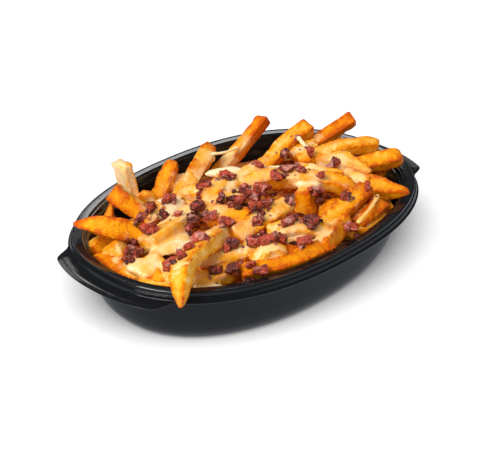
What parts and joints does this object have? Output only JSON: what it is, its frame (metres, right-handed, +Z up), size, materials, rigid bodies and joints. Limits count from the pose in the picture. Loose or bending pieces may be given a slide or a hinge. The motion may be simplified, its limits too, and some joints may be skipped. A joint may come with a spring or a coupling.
{
  "type": "bacon topped fries",
  "caption": "Oval black plastic tray with end tabs, filled with a heap of fries under melted cheese and scattered bacon bits.",
  "frame": {"origin": "middle of the tray's flat base, at the level of the surface it stands on", "axes": "+Z up out of the open tray, X along the tray's long way between its end tabs"},
  "size_m": [0.2024, 0.1324, 0.0554],
  "materials": {
    "black plastic": "glossy thermoformed black plastic",
    "fried potato": "fried potato with melted yellow and white cheese",
    "bacon": "fried bacon, dark red to mauve with a slight shine"
  },
  "bodies": {
    "root": {"tray": "black plastic", "fries": "fried potato", "bacon_01": "bacon", "bacon_02": "bacon", "bacon_03": "bacon", "bacon_04": "bacon", "bacon_05": "bacon", "bacon_06": "bacon", "bacon_07": "bacon", "bacon_08": "bacon", "bacon_09": "bacon", "bacon_10": "bacon", "bacon_11": "bacon", "bacon_12": "bacon", "bacon_13": "bacon", "bacon_14": "bacon", "bacon_15": "bacon", "bacon_16": "bacon", "bacon_17": "bacon", "bacon_18": "bacon", "bacon_19": "bacon", "bacon_20": "bacon", "bacon_21": "bacon", "bacon_22": "bacon", "bacon_23": "bacon", "bacon_24": "bacon", "bacon_25": "bacon", "bacon_26": "bacon", "bacon_27": "bacon", "bacon_28": "bacon", "bacon_29": "bacon", "bacon_30": "bacon", "bacon_31": "bacon", "bacon_32": "bacon", "bacon_33": "bacon", "bacon_34": "bacon", "bacon_35": "bacon", "bacon_36": "bacon", "bacon_37": "bacon", "bacon_38": "bacon", "bacon_39": "bacon", "bacon_40": "bacon", "bacon_41": "bacon", "bacon_42": "bacon", "bacon_43": "bacon", "bacon_44": "bacon", "bacon_45": "bacon", "bacon_46": "bacon", "bacon_47": "bacon", "bacon_48": "bacon", "bacon_49": "bacon", "bacon_50": "bacon", "bacon_51": "bacon", "bacon_52": "bacon", "bacon_53": "bacon"}
  },
  "joints": []
}
